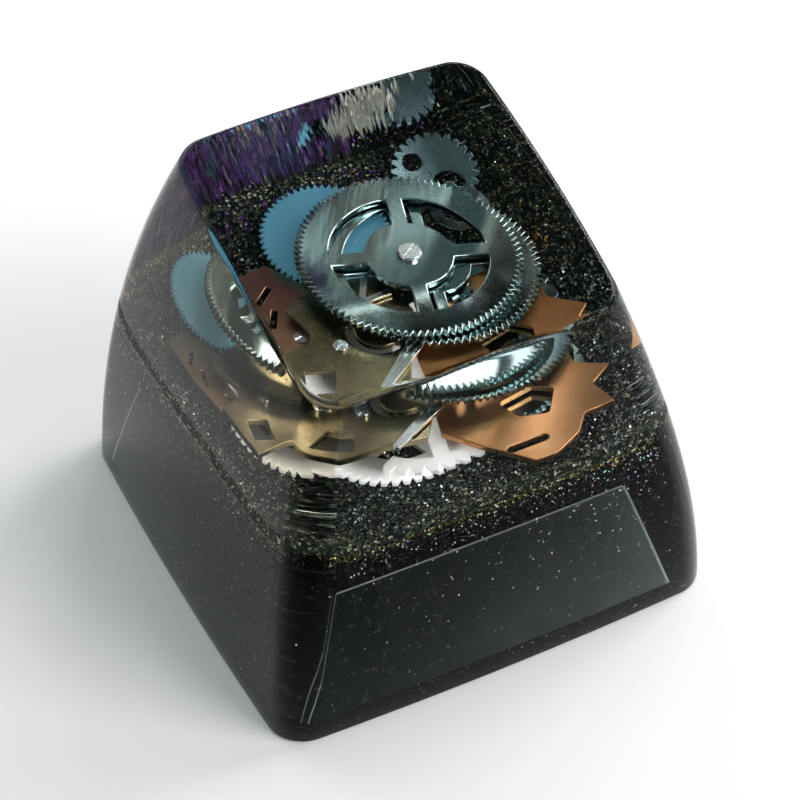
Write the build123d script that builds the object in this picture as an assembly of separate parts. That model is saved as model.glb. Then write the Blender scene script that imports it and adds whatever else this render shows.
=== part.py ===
from build123d import *
import math
import os

# A keycap cast in three pours: a clear crown, a bed of granules and a smoky base with a
# hollow and a stem. Loose watch parts lie in the clear crown, on the bed.
# Sizes are in millimetres and angles in degrees. X is right, Y is back and Z is up.

# Outer form of the cap
base_width = 18.1
base_corner_radius = 1.3
top_width = 12.3
top_length = 12.15
top_corner_radius = 1.1
top_height = 14.55
top_tilt = 15.5
top_shift = -0.42
side_bulge = 0.52
end_bulge = 0.65
side_bow = 0.22
top_edge_radius = 0.15
wall_bands = 4
edge_bands = 2

# Hollow, stem and cross socket underneath
hollow_mouth = 14.8
hollow_ceiling = 11.65
roof_thickness = 1.7
stem_diameter = 5.5
stem_recess = 0.5
socket_length = 4.1
socket_slot = 1.3
socket_depth = 4.0

# Bed of granules between the clear and the smoky pour
bed_height = 6.8
bed_thickness = 0.45
bed_margin = 2.15
bed_slope = 36.0
bed_corner_cut = 1.0

# How the watch parts are laid in the crown
resin_film = 0.06
wall_cover = 0.35
train_tilt = 5.0
train_gap = 0.12
pocket_sides = 16

# Great wheel and its pin
great_radius = 4.2
great_teeth = 94
great_tooth_depth = 0.26
great_thickness = 0.32
great_window_inner = 1.65
great_window_outer = 2.92
great_spoke_width = 0.6
great_turn = -15.0
arbor_radius = 0.3
arbor_head_radius = 0.46
arbor_head_height = 0.2
arbor_head_bevel = 0.06
arbor_slot_width = 0.11
arbor_slot_depth = 0.07

# Second wheel, under the great wheel
second_radius = 4.1
second_teeth = 90
second_tooth_depth = 0.28
second_thickness = 0.2
second_window_inner = 1.5
second_window_outer = 3.2
second_spoke_width = 0.42

# Blue wheels at the back
ratchet_radius = 2.45
ratchet_teeth = 56
ratchet_tooth_depth = 0.24
ratchet_thickness = 0.2
ratchet_lean = 7.0
crown_wheel_radius = 1.7
crown_wheel_teeth = 26
crown_wheel_tooth_depth = 0.26
crown_wheel_thickness = 0.2
crown_wheel_lean = 31.0
crown_wheel_hole = 0.38
crown_wheel_hole_place = 0.95
crown_wheel_kidney = 0.44
crown_wheel_kidney_radius = 0.48
crown_wheel_kidney_place = 0.57

# Small wheels and the ring
front_radius = 3.05
front_teeth = 44
front_tooth_depth = 0.34
front_thickness = 0.15
front_window_inner = 0.7
front_window_outer = 1.65
front_spoke_width = 0.5
scallop_radius = 2.65
scallop_teeth = 18
scallop_depth = 0.24
scallop_thickness = 0.15
scallop_bore = 0.6
ring_radius = 1.15
ring_bore = 0.72
ring_thickness = 0.15
pinion_radius = 0.6
pinion_teeth = 10
pinion_tooth_depth = 0.2
pinion_thickness = 0.22
pinion_bore = 0.25

# Toothed sector with its arm
sector_radius = 3.2
sector_band = 0.85
sector_teeth = 32
sector_tooth_depth = 0.4
sector_angle = 92.0
sector_turn = -98.0
sector_thickness = 0.15
sector_arm_width = 0.6
sector_pivot_radius = 0.5

# Plates, lever and spring
copper_reach = 4.1
copper_thickness = 0.22
copper_slot_length = 1.2
copper_slot_width = 0.45
cock_reach = 2.55
cock_thickness = 0.2
bridge_reach = 3.65
bridge_thickness = 0.25
bridge_hole = 1.05
bridge_slot_radius = 1.05
bridge_slot_width = 0.34
cock_slot_length = 0.9
cock_slot_width = 0.24
plate_corner_radius = 0.16
lever_length = 3.3
lever_head_radius = 0.34
lever_tail_radius = 0.15
lever_thickness = 0.14
spring_arm = 1.15
spring_width = 0.26
spring_angle = 58.0
spring_thickness = 0.14
screw_head_radius = 0.27
screw_head_height = 0.13
screw_slot_width = 0.07
screw_slot_depth = 0.05


def wall_half(height, top_span, bulge):
    """Half the cap's width at a height, from the straight line of the wall and its bulge."""
    rise = height / top_height
    straight = base_width / 2 * (1 - rise) + top_span / 2 * rise
    return straight + 4 * bulge * rise * (1 - rise)


def outline(width, length, corner):
    """Rounded square whose four sides bow out a little."""
    half_x = width / 2 - side_bow
    half_y = length / 2 - side_bow
    front = ThreePointArc((-half_x, -half_y), (0, -half_y - side_bow), (half_x, -half_y))
    right = ThreePointArc((half_x, -half_y), (half_x + side_bow, 0), (half_x, half_y))
    back = ThreePointArc((half_x, half_y), (0, half_y + side_bow), (-half_x, half_y))
    left = ThreePointArc((-half_x, half_y), (-half_x - side_bow, 0), (-half_x, -half_y))
    face = make_face([front, right, back, left])
    return fillet(face.vertices(), corner)


def polar(radius, angle):
    """Point at a radius and an angle."""
    turn = math.radians(angle)
    return (radius * math.cos(turn), radius * math.sin(turn))


def toothed(radius, teeth, depth, tip=0.0, lean=0.0):
    """Wheel outline with a pointed valley for every tooth, and a pointed or a flat tip."""
    pitch = 360 / teeth
    points = []
    for index in range(teeth):
        start = index * pitch
        middle = start + pitch * (0.5 + lean)
        points.append(polar(radius - depth, start))
        if tip > 0:
            points.append(polar(radius, middle - pitch * tip / 2))
        points.append(polar(radius, middle + pitch * tip / 2))
    return make_face(Polyline(*points, close=True))


def rim(radius):
    """Outline around a circle, with flat sides, for the pocket that a round part leaves in the resin."""
    return RegularPolygon(radius, pocket_sides, major_radius=False)


def core(opening):
    """What the resin fills of an opening: the flat-sided core of a round hole, or all of another one."""
    edges = opening.edges()
    if len(edges) > 1:
        return opening
    return Pos(edges[0].arc_center) * RegularPolygon(edges[0].radius, pocket_sides)


def wheel(face, radius, openings, thickness):
    """A toothed wheel, and its blank: the same wheel with a plain rim in place of its teeth."""
    blank = rim(radius)
    for opening in openings:
        face = face - opening
        blank = blank - core(opening)
    return extrude(face, thickness), extrude(blank, thickness)


def windows(inner, outer, spoke, count):
    """Openings between the spokes of a wheel."""
    openings = Circle(outer) - Circle(inner)
    for index in range(count):
        bar = Pos(outer, 0) * Rectangle(2 * outer, spoke)
        openings -= Rot(0, 0, 360 / count * index) * bar
    return openings


def on_plate(reach, point, height=0.0):
    """Place on a plate, from a point given as shares of the plate's reach."""
    return Pos(reach * point[0], reach * point[1], height)


def plate(reach, points, eased):
    """Flat plate outline through points given as shares of its reach, with the eased ones rounded."""
    corners = {point: on_plate(reach, point).position for point in points}
    face = make_face(Polyline(*corners.values(), close=True))
    rounded = [face.vertices().sort_by_distance(corners[point])[0] for point in eased]
    return fillet(rounded, plate_corner_radius)


def spot(share_x, share_y, reach, height):
    """Place of a part: a share of the free room around it, so that it stays inside the wall."""
    room = free_half - reach
    return Pos(share_x * room, share_y * room, height)


def bed_spot(share_x, share_y, reach):
    """Place of a part that lies on the bed: a share of the level floor's free room around it."""
    room = bed_floor_half - resin_film - reach / math.cos(math.pi / pocket_sides)
    return Pos(share_x * room, share_y * room, first_level)


def section(rise, inset=0.0):
    """Outline of the cap at a share of its height, drawn in by inset. Its plane tips with the top face."""
    flat_length = top_length * math.cos(math.radians(top_tilt))
    tip = math.atan(math.tan(math.radians(top_tilt)) * rise)
    width = 2 * wall_half(rise * top_height, top_width, side_bulge)
    length = 2 * wall_half(rise * top_height, flat_length, end_bulge) / math.cos(tip)
    corner = base_corner_radius * (1 - rise) + top_corner_radius * rise - inset
    place = Pos(0, top_shift * rise, top_height * rise) * Rot(math.degrees(tip), 0, 0)
    return place * outline(width - 2 * inset, length - 2 * inset, corner)


# Body of the cap: bands up the bulged wall, then narrow bands around the rounded top edge
sections = [section(band / wall_bands) for band in range(wall_bands)]
for band in range(edge_bands + 1):
    turn = math.radians(90 * band / edge_bands)
    drop = top_edge_radius * (1 - math.sin(turn))
    sections.append(section(1 - drop / top_height, top_edge_radius * (1 - math.cos(turn))))
body = loft(sections, ruled=True)

# Dished bed: a level floor with a sloping margin that climbs to the wall
slope = math.radians(bed_slope)
bed_floor_half = wall_half(bed_height, top_width, side_bulge) - bed_margin
bed_corner_reach = (2 * bed_floor_half - bed_corner_cut) / math.sqrt(2)


def bed_block(drop):
    """Block above the bed's face, lowered square to itself by drop: a floor trimmed by eight slopes."""
    floor = bed_height - drop
    size = 2 * (base_width + top_height)
    block = Pos(0, 0, floor + size / 2) * Box(size, size, size)
    for index in range(8):
        reach = bed_floor_half if index % 2 == 0 else bed_corner_reach
        reach += drop * math.tan(slope / 2)
        side = polar(1, 45 * index)
        foot = (reach * side[0], reach * side[1], floor)
        upward = (-side[0] * math.sin(slope), -side[1] * math.sin(slope), math.cos(slope))
        block = split(block, Plane(origin=foot, z_dir=upward), keep=Keep.TOP)
    return block


# Smoky base with its hollow, stem and cross socket
hollow_depth = bed_height - bed_thickness - roof_thickness
hollow = loft([
    Rectangle(hollow_mouth, hollow_mouth),
    Pos(0, 0, hollow_depth) * Rectangle(hollow_ceiling, hollow_ceiling),
])
stem_length = hollow_depth - stem_recess
stem = Pos(0, 0, stem_recess) * extrude(Circle(stem_diameter / 2), stem_length)
cross = Rectangle(socket_length, socket_slot) + Rectangle(socket_slot, socket_length)
stem -= Pos(0, 0, stem_recess) * extrude(cross, socket_depth)
clear_block = bed_block(0)
bed_cut = bed_block(bed_thickness)
smoky_base = body - bed_cut - hollow + stem
glitter_layer = (body & bed_cut) - clear_block
clear_body = body & clear_block

# Heights of the pile, from the bed up
free_half = wall_half(bed_height + 1.2, top_width, side_bulge) + top_shift / 2 - wall_cover
first_level = bed_height + resin_film
thin_pile = max(front_thickness, ring_thickness)
second_level = first_level + thin_pile + resin_film
cock_pile = max(sector_thickness, cock_thickness, scallop_thickness)
copper_level = second_level + cock_pile + resin_film
copper_top = copper_level + copper_thickness
bridge_level = copper_top + resin_film
bridge_top = bridge_level + bridge_thickness
upper_level = bridge_top + resin_film
upper_pile = max(lever_thickness, spring_thickness, screw_head_height)
upper_top = upper_level + upper_pile
tilt = math.radians(train_tilt)

# Second wheel: its low rim clears the copper plate and its middle clears the lever
second_place = spot(0.62, 0.52, second_radius, 0)
second_low = copper_top + resin_film + second_radius * math.sin(tilt)
second_mid = upper_top + resin_film - 0.35 * second_radius * math.sin(tilt)
second_height = max(second_low, second_mid) + second_thickness / 2
second_face = toothed(second_radius, second_teeth, second_tooth_depth)
second_windows = windows(second_window_inner, second_window_outer, second_spoke_width, 4)
train_lean = Rot(0, train_tilt, 0)
second_seat = second_place * Pos(0, 0, second_height) * train_lean
second_seat = second_seat * Rot(0, 0, great_turn) * Pos(0, 0, -second_thickness / 2)
second_wheel, second_blank = wheel(second_face, second_radius, [second_windows], second_thickness)
second_wheel = second_seat * second_wheel
second_blank = second_seat * second_blank

# Great wheel: parallel to the second wheel, one gap above it
great_place = spot(0.447, 0.669, great_radius, 0)
side_step = second_place.position.X - great_place.position.X
wheel_step = (second_thickness + great_thickness) / 2 + train_gap
great_height = second_height + side_step * math.tan(tilt) + wheel_step / math.cos(tilt)
great_face = toothed(great_radius, great_teeth, great_tooth_depth)
great_windows = windows(great_window_inner, great_window_outer, great_spoke_width, 4)
great_seat = great_place * Pos(0, 0, great_height) * train_lean
great_seat = great_seat * Rot(0, 0, great_turn) * Pos(0, 0, -great_thickness / 2)
great_cuts = [great_windows, Circle(arbor_radius)]
great_wheel, great_blank = wheel(great_face, great_radius, great_cuts, great_thickness)
great_wheel = great_seat * great_wheel
great_blank = great_seat * great_blank

# Slotted pin that holds the great wheel, with a bevelled head on the wheel's face
arbor_pin = extrude(Circle(arbor_radius), great_thickness)
head_blank = extrude(rim(arbor_head_radius), arbor_head_height)
arbor_head = extrude(Circle(arbor_head_radius), arbor_head_height)
arbor_head = chamfer(arbor_head.edges().sort_by(Axis.Z)[-1], arbor_head_bevel)
arbor_slot = extrude(Rectangle(3 * arbor_head_radius, arbor_slot_width), arbor_slot_depth)
arbor_head -= Pos(0, 0, arbor_head_height - arbor_slot_depth) * Rot(0, 0, 50) * arbor_slot
great_wheel_arbor = great_seat * (arbor_pin + Pos(0, 0, great_thickness) * arbor_head)
arbor_blank = great_seat * (arbor_pin + Pos(0, 0, great_thickness) * head_blank)

# Blue wheels at the back
ratchet_face = toothed(ratchet_radius, ratchet_teeth, ratchet_tooth_depth)
blue_ratchet_wheel, ratchet_blank = wheel(ratchet_face, ratchet_radius, [], ratchet_thickness)
ratchet_place = spot(-0.13, 1.0, ratchet_radius, 0)
ratchet_tip = math.radians(ratchet_lean)
ratchet_rise = ratchet_radius * math.sin(ratchet_tip)
ratchet_back = ratchet_place.position.Y + ratchet_radius * math.cos(ratchet_tip) - bed_floor_half
ratchet_on_bed = bed_height + max(0, ratchet_back) * math.tan(slope) + resin_film - ratchet_rise
ratchet_height = max(copper_level + ratchet_rise, ratchet_on_bed)
ratchet_seat = ratchet_place * Pos(0, 0, ratchet_height) * Rot(ratchet_lean, 0, 0)
blue_ratchet_wheel = ratchet_seat * blue_ratchet_wheel
ratchet_blank = ratchet_seat * ratchet_blank
crown_face = toothed(crown_wheel_radius, crown_wheel_teeth, crown_wheel_tooth_depth, 0.4)
crown_round = Pos(*polar(crown_wheel_hole_place, 134)) * Circle(crown_wheel_hole)
kidney_bend = CenterArc((0, -crown_wheel_kidney_radius), crown_wheel_kidney_radius, 35, 110)
kidney = SlotArc(kidney_bend, crown_wheel_kidney)
kidney = Pos(*polar(crown_wheel_kidney_place, -36)) * Rot(0, 0, -27) * kidney
crown_cuts = [crown_round, kidney]
blue_crown_wheel, crown_blank = wheel(crown_face, crown_wheel_radius, crown_cuts, crown_wheel_thickness)
lean = math.radians(crown_wheel_lean)
crown_place = spot(0.77, 1.04, crown_wheel_radius, 0)
crown_left = crown_place.position.X - crown_wheel_radius - great_place.position.X
crown_roof = great_height - great_thickness / 2 - crown_left * math.tan(tilt)
crown_height = crown_roof - resin_film - crown_wheel_thickness / 2 / math.cos(lean)
crown_seat = crown_place * Pos(0, 0, crown_height) * Rot(crown_wheel_lean, 0, 0)
crown_seat = crown_seat * Pos(0, 0, -crown_wheel_thickness / 2)
blue_crown_wheel = crown_seat * blue_crown_wheel
crown_blank = crown_seat * crown_blank

# Ring and front wheel on the bed, the ring in its back right corner, and the scalloped wheel above them
ring_out = bed_corner_reach - resin_film - ring_radius / math.cos(math.pi / pocket_sides)
ring_seat = Pos(*polar(ring_out, 44.3), first_level)
spacer_ring, ring_blank = wheel(Circle(ring_radius), ring_radius, [Circle(ring_bore)], ring_thickness)
spacer_ring = ring_seat * spacer_ring
ring_blank = ring_seat * ring_blank
front_face = toothed(front_radius, front_teeth, front_tooth_depth, 0.45)
front_windows = windows(front_window_inner, front_window_outer, front_spoke_width, 4)
front_seat = bed_spot(-0.46, -0.33, front_radius) * Rot(0, 0, 20)
front_wheel, front_blank = wheel(front_face, front_radius, [front_windows], front_thickness)
front_wheel = front_seat * front_wheel
front_blank = front_seat * front_blank
scallop_face = toothed(scallop_radius, scallop_teeth, scallop_depth, 0.6)
scallop_seat = bed_spot(1.0, -0.085, scallop_radius) * Pos(0, 0, second_level - first_level)
scalloped_wheel, scallop_blank = wheel(
    scallop_face, scallop_radius, [Circle(scallop_bore)], scallop_thickness
)
scalloped_wheel = scallop_seat * scalloped_wheel
scallop_blank = scallop_seat * scallop_blank

# Toothed sector with its arm and pivot ring
sector_face = toothed(sector_radius, sector_teeth, sector_tooth_depth, 0.4, 0.14)
sector_face -= Circle(sector_radius - sector_band)
wedge_reach = sector_radius / math.cos(math.radians(sector_angle / 2)) * 1.2
wedge = make_face(Polyline(
    (0, 0),
    polar(wedge_reach, sector_turn - sector_angle / 2),
    polar(wedge_reach, sector_turn + sector_angle / 2),
    close=True,
))
sector_face = sector_face & wedge
arm_length = sector_radius - sector_band / 2
arm = Rot(0, 0, sector_turn) * Pos(arm_length / 2, 0) * Rectangle(arm_length, sector_arm_width)
sector_face = sector_face + arm + Circle(sector_pivot_radius)
rack_sector = spot(-0.08, -0.24, sector_radius, second_level) * extrude(sector_face, sector_thickness)

# Pinkish plate at the far left
cock_waist = (0.235, -0.431)
cock_outline = [
    (-0.353, 0.824),
    (0.157, 0.902),
    (0.431, 0.51),
    (0.549, 0.0),
    cock_waist,
    (0.196, -0.863),
    (-0.353, -0.941),
    (-0.431, -0.039),
]
cock_slot = Rectangle(cock_slot_length, cock_slot_width)
cock_face = plate(cock_reach, cock_outline, [cock_waist])
cock_face -= on_plate(cock_reach, (-0.098, 0.353)) * Rot(0, 0, 40) * cock_slot
cock_face -= on_plate(cock_reach, (-0.157, -0.118)) * Rot(0, 0, 62) * cock_slot
cock_place = spot(-0.74, 0.53, cock_reach, second_level)
copper_cock = cock_place * extrude(cock_face, cock_thickness)

# Copper plate with pointed teeth at its right side
copper_valleys = [(0.671, 0.39), (0.72, -0.012), (0.512, -0.39)]
copper_outline = [
    (0.683, 0.756),
    copper_valleys[0],
    (0.951, 0.171),
    copper_valleys[1],
    (0.817, -0.378),
    copper_valleys[2],
    (0.366, -0.646),
    (0.098, -0.829),
    (-0.122, -0.829),
    (-0.268, -0.61),
    (-0.451, -0.366),
    (-0.732, 0.049),
    (-0.659, 0.512),
    (-0.268, 0.854),
    (0.341, 0.915),
]
kidney_outline = [(-0.146, 0.183), (0.207, 0.268), (0.378, 0.122), (0.22, -0.207), (-0.037, -0.11)]
copper_slot = SlotCenterToCenter(copper_slot_length, copper_slot_width)
copper_face = plate(copper_reach, copper_outline, copper_valleys)
copper_face -= plate(copper_reach, kidney_outline, kidney_outline)
copper_face -= on_plate(copper_reach, (-0.098, -0.537)) * copper_slot
copper_plate = spot(0.79, -0.82, copper_reach, copper_level) * extrude(copper_face, copper_thickness)

# Brass bridge with an S-shaped edge, a square hole and a curved slot
bridge_curve = [(-0.342, 0.137), (-0.274, 0.26), (-0.384, 0.644), (-0.192, 0.726)]
bridge_outline = [
    (-0.767, -0.63),
    (-0.753, 0.096),
    *bridge_curve,
    (0.329, 0.753),
    (0.685, 0.658),
    (0.767, 0.11),
    (0.521, -0.356),
    (0.329, -0.726),
    (-0.11, -0.644),
]
bridge_slot = SlotArc(CenterArc((0, 0), bridge_slot_radius, 160, 120), bridge_slot_width)
bridge_face = plate(bridge_reach, bridge_outline, bridge_curve)
bridge_face -= on_plate(bridge_reach, (-0.466, -0.37)) * Rot(0, 0, -22) * Rectangle(bridge_hole, bridge_hole)
bridge_face -= on_plate(bridge_reach, (0.342, 0.027)) * bridge_slot
bridge_place = spot(-0.59, -0.05, bridge_reach, bridge_level)
brass_bridge = bridge_place * extrude(bridge_face, bridge_thickness)

# Slotted screw heads that stand on the two plates
screw_slot = extrude(Rectangle(3 * screw_head_radius, screw_slot_width), screw_slot_depth)
screw_blank = extrude(rim(screw_head_radius), screw_head_height)
screw_head = extrude(Circle(screw_head_radius), screw_head_height)
screw_head -= Pos(0, 0, screw_head_height - screw_slot_depth) * screw_slot
screw_seats = [
    bridge_place * on_plate(bridge_reach, (-0.096, -0.041), bridge_thickness) * Rot(0, 0, 35),
    cock_place * on_plate(cock_reach, (0.039, -0.608), cock_thickness) * Rot(0, 0, 10),
]
bridge_screws = Compound(children=[(seat * screw_head).solid() for seat in screw_seats])
screw_blanks = Compound(children=[(seat * screw_blank).solid() for seat in screw_seats])

# Lever and spring that lie on the bridge, and the pinion on the copper plate
lever_head = Circle(lever_head_radius)
lever_tail = Pos(lever_length, 0) * Circle(lever_tail_radius)
lever_face = make_hull([*lever_head.edges(), *lever_tail.edges()])
click_lever = Pos(-lever_length / 2, 0, 0) * extrude(lever_face, lever_thickness)
click_lever = spot(-0.155, -0.345, lever_length / 2, upper_level) * Rot(0, 0, 216.5) * click_lever
spring_face = Pos(spring_arm / 2, 0) * Rectangle(spring_arm, spring_width)
spring_face += Rot(0, 0, spring_angle) * spring_face
v_spring = Rot(0, 0, 2) * extrude(spring_face, spring_thickness)
v_spring = spot(-0.155, 0.19, spring_arm, upper_level) * v_spring
pinion_face = toothed(pinion_radius, pinion_teeth, pinion_tooth_depth, 0.4)
pinion_seat = spot(0.36, 0.06, pinion_radius, bridge_level)
small_pinion, pinion_blank = wheel(pinion_face, pinion_radius, [Circle(pinion_bore)], pinion_thickness)
small_pinion = pinion_seat * small_pinion
pinion_blank = pinion_seat * pinion_blank

# The clear crown is cast around the watch parts. It ends at a plain rim around each wheel
# and round head, so the gaps between teeth and the slots stay open.
watch_parts = {
    "great_wheel": great_wheel,
    "great_wheel_arbor": great_wheel_arbor,
    "second_wheel": second_wheel,
    "blue_ratchet_wheel": blue_ratchet_wheel,
    "blue_crown_wheel": blue_crown_wheel,
    "spacer_ring": spacer_ring,
    "brass_bridge": brass_bridge,
    "bridge_screws": bridge_screws,
    "copper_cock": copper_cock,
    "copper_plate": copper_plate,
    "front_wheel": front_wheel,
    "rack_sector": rack_sector,
    "click_lever": click_lever,
    "v_spring": v_spring,
    "scalloped_wheel": scalloped_wheel,
    "small_pinion": small_pinion,
}
pockets = dict(watch_parts)
pockets["great_wheel"] = great_blank
pockets["great_wheel_arbor"] = arbor_blank
pockets["bridge_screws"] = screw_blanks
pockets["spacer_ring"] = ring_blank
pockets["small_pinion"] = pinion_blank
pockets["second_wheel"] = second_blank
pockets["blue_ratchet_wheel"] = ratchet_blank
pockets["blue_crown_wheel"] = crown_blank
pockets["front_wheel"] = front_blank
pockets["scalloped_wheel"] = scallop_blank
clear_crown = clear_body.cut(*[solid for part in pockets.values() for solid in part.solids()])

# Finished pieces
nodes = {"clear_crown": clear_crown, "glitter_layer": glitter_layer, "smoky_base": smoky_base}
nodes.update(watch_parts)
os.makedirs("parts", exist_ok=True)
for name, shape in nodes.items():
    shape.label = name
    export_step(shape, f"parts/{name}.step")
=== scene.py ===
import logging
import math
from dataclasses import dataclass, field, replace
from enum import Enum, IntEnum

import bmesh
import bpy
import numpy as np
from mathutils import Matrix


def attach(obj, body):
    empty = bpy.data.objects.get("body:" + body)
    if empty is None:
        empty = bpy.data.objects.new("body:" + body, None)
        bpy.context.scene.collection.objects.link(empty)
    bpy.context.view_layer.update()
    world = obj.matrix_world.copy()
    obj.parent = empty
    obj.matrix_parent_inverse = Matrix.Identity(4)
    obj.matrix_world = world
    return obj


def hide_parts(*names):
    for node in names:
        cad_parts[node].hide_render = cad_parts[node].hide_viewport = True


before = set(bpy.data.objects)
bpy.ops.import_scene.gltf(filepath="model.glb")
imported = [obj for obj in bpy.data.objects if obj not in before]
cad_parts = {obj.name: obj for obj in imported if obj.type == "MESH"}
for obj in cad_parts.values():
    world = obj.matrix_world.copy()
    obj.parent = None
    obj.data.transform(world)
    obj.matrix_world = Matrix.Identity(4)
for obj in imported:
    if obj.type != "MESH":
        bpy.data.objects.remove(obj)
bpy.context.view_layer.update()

# A keycap cast in clear and smoky resin, with loose watch parts on a bed of granules.
# Sizes in the classes are millimetres; meshes are written in metres, in the frame's axes.

MM = 0.001
BODY = "root"
QUARTER = math.pi / 2
LOG = logging.getLogger("keycap")

Colour = tuple[float, float, float]
Place = tuple[float, float, float]
Socket = bpy.types.NodeSocket


# Mesh helpers


def add_object(name: str, data: bpy.types.ID) -> bpy.types.Object:
    """Makes an object and links it to the scene.

    Args:
        name: Name of the object.
        data: Its mesh, light or camera.

    Returns:
        The new object.
    """
    piece = bpy.data.objects.new(name, data)
    bpy.context.scene.collection.objects.link(piece)
    return piece


def make_piece(
    name: str,
    points: np.ndarray,
    faces: list[list[int]],
    materials: list[bpy.types.Material],
    slots: np.ndarray | None = None,
    crease: float | None = 35.0,
) -> bpy.types.Object:
    """Makes a mesh object from points in millimetres.

    Args:
        name: Name of the object.
        points: Vertices, one row each.
        faces: Vertex indices of each face, counter-clockwise from outside.
        materials: Finishes of the piece, in slot order.
        slots: Slot of each face, or None where there is only one.
        crease: Angle in degrees above which an edge stays sharp, or None for flat faces.

    Returns:
        The new object, linked to the scene.
    """
    mesh = bpy.data.meshes.new(name)
    mesh.from_pydata((points * MM).tolist(), [], faces)
    for material in materials:
        mesh.materials.append(material)
    if slots is not None:
        mesh.polygons.foreach_set("material_index", slots.astype(np.int32))
    if crease is not None:
        mesh.shade_smooth()
        mesh.set_sharp_from_angle(angle=math.radians(crease))
    mesh.update()
    return add_object(name, mesh)


def seat(piece: bpy.types.Object, slot: str, *nodes: str) -> None:
    """Puts a piece on the cap's body and hides the solids that it stands for.

    Args:
        piece: The new piece.
        slot: Material slot of the record; not used.
        nodes: Names of the solids that the piece replaces.
    """
    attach(piece, BODY)
    if nodes:
        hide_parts(*nodes)
    LOG.info("%s: %d vertices, %d faces", piece.name, len(piece.data.vertices), len(piece.data.polygons))


def paint(piece: bpy.types.Object, tints: np.ndarray, each: int) -> None:
    """Gives the shapes of a crowd their colours, as the attribute "tint".

    Args:
        piece: The crowd.
        tints: Colour of each shape.
        each: Vertices of each shape.
    """
    layer = piece.data.attributes.new("tint", "FLOAT_COLOR", "POINT")
    rgba = np.concatenate([tints, np.ones((len(tints), 1))], axis=1)
    layer.data.foreach_set("color", np.repeat(rgba, each, axis=0).astype(np.float32).ravel())


def pick_colours(
    rng: np.random.Generator, colours: np.ndarray, weight: np.ndarray, low: float, high: float
) -> np.ndarray:
    """Draws a colour for each shape of a crowd, and makes it lighter or darker.

    Args:
        rng: Source of random numbers.
        colours: Colours to draw from.
        weight: How likely each colour is, one row for each shape.
        low: Least factor on the colour.
        high: Greatest factor on the colour.

    Returns:
        One colour for each shape.
    """
    weight = weight / weight.sum(axis=1, keepdims=True)
    pick = (rng.uniform(size=(len(weight), 1)) > np.cumsum(weight, axis=1)).sum(axis=1)
    return colours[np.minimum(pick, len(colours) - 1)] * rng.uniform(low, high, (len(weight), 1))


def fade(places: np.ndarray, start: float, width: float) -> np.ndarray:
    """Share that grows from 0 at the start to 1 over a width."""
    return np.clip((places - start) / width, 0, 1)


def ring_faces(rings: int, columns: int) -> list[list[int]]:
    """Faces of a closed skin: rings of columns joined by quads, with a pole at each end.

    Args:
        rings: Number of rings, without the poles.
        columns: Points in each ring.

    Returns:
        Faces over the points [first pole, ring 0, ring 1, ..., last pole].
    """
    ring = np.arange(rings - 1)[:, None] * columns
    here = np.arange(columns)[None, :]
    after = (here + 1) % columns
    quads = np.stack(
        [ring + here, ring + after, ring + columns + after, ring + columns + here], axis=-1
    ).reshape(-1, 4) + 1
    here = here[0]
    after = after[0]
    first = np.stack([np.zeros_like(here), after + 1, here + 1], axis=-1)
    last_ring = 1 + (rings - 1) * columns
    last = np.full_like(here, rings * columns + 1)
    end = np.stack([last, last_ring + here, last_ring + after], axis=-1)
    return first.tolist() + quads.tolist() + end.tolist()


def skin_points(first: np.ndarray, rings: list[np.ndarray], last: np.ndarray) -> np.ndarray:
    """Points of a closed skin, in the order that ring_faces uses."""
    return np.concatenate([first[None, :], *rings, last[None, :]])


# Form of the cap


@dataclass(frozen=True)
class Stations:
    """Columns around the cap's outline.

    A column's place is corner * (half - radius) + radius * normal: the sum of a rectangle
    and a circle, which is a rounded rectangle for any half sizes and radius.
    """

    corner_x: np.ndarray
    corner_y: np.ndarray
    normal_x: np.ndarray
    normal_y: np.ndarray

    @classmethod
    def around(cls, per_side: int, per_corner: int) -> "Stations":
        """Columns spread over four sides and four corners.

        Args:
            per_side: Columns between two corners.
            per_corner: Steps around each corner.

        Returns:
            The columns, counter-clockwise from the front right corner.
        """
        parts: list[np.ndarray] = []
        signs = [(1, -1), (1, 1), (-1, 1), (-1, -1)]
        for index, (sign_x, sign_y) in enumerate(signs):
            turn = np.radians(90 * index - 90 + np.linspace(0, 90, per_corner + 1))
            ones = np.ones_like(turn)
            parts.append(np.stack([sign_x * ones, sign_y * ones, np.cos(turn), np.sin(turn)]))
            share = np.linspace(0, 1, per_side + 2)[1:-1]
            after_x, after_y = signs[(index + 1) % 4]
            ones = np.ones_like(share)
            parts.append(np.stack([
                sign_x + (after_x - sign_x) * share,
                sign_y + (after_y - sign_y) * share,
                np.cos(turn[-1]) * ones,
                np.sin(turn[-1]) * ones,
            ]))
        return cls(*np.concatenate(parts, axis=1))

    @classmethod
    def along_back(cls, across: np.ndarray) -> "Stations":
        """Columns on the back side, at these shares of its half width."""
        zeros = np.zeros_like(across)
        return cls(across, zeros + 1, zeros, zeros + 1)

    @property
    def count(self) -> int:
        """Number of columns."""
        return len(self.corner_x)

    @property
    def table(self) -> np.ndarray:
        """Corners and normals, one row each."""
        return np.stack([self.corner_x, self.corner_y, self.normal_x, self.normal_y])


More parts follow.
